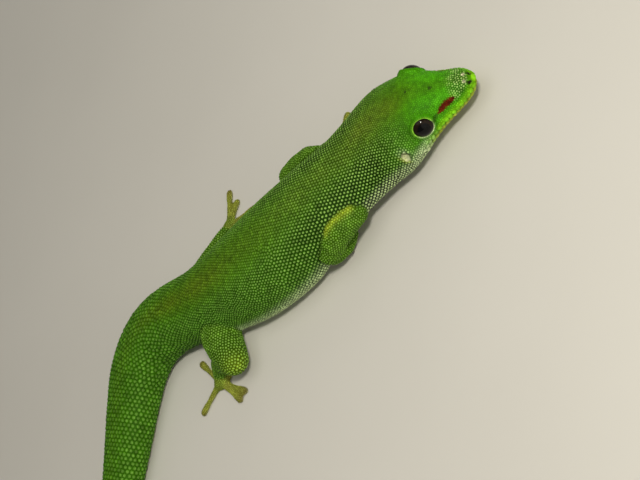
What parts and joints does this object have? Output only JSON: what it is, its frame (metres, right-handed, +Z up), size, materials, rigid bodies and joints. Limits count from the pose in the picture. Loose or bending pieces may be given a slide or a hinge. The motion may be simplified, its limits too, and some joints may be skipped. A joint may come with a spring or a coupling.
{
  "type": "giant day gecko",
  "caption": "Life-size giant day gecko at rest, body and thick tail in a gentle curve, head turned slightly, padded toes spread on the floor.",
  "frame": {"origin": "on the floor under the front of the belly, where its flat rests", "axes": "+Y along the trunk towards the head, +X to the animal's right, +Z up"},
  "size_m": [0.1057, 0.2343, 0.0197],
  "materials": {
    "head_skin": "fine smooth scales, bright green",
    "body_skin": "small beaded scales, green",
    "toe_skin": "small scales, olive green, grey-brown pads",
    "eye": "wet gloss, near black"
  },
  "bodies": {
    "root": {"head": "head_skin", "eye_right": "eye", "eye_left": "eye", "neck": "head_skin", "chest": "body_skin", "belly": "body_skin", "pelvis": "body_skin", "tail_base": "body_skin", "tail_middle": "body_skin", "tail_tip": "body_skin", "upper_arm_right": "body_skin", "forearm_right": "body_skin", "hand_right": "toe_skin", "upper_arm_left": "body_skin", "forearm_left": "body_skin", "hand_left": "toe_skin", "thigh_right": "body_skin", "shank_right": "body_skin", "foot_right": "toe_skin", "thigh_left": "body_skin", "shank_left": "body_skin", "foot_left": "toe_skin"}
  },
  "joints": []
}
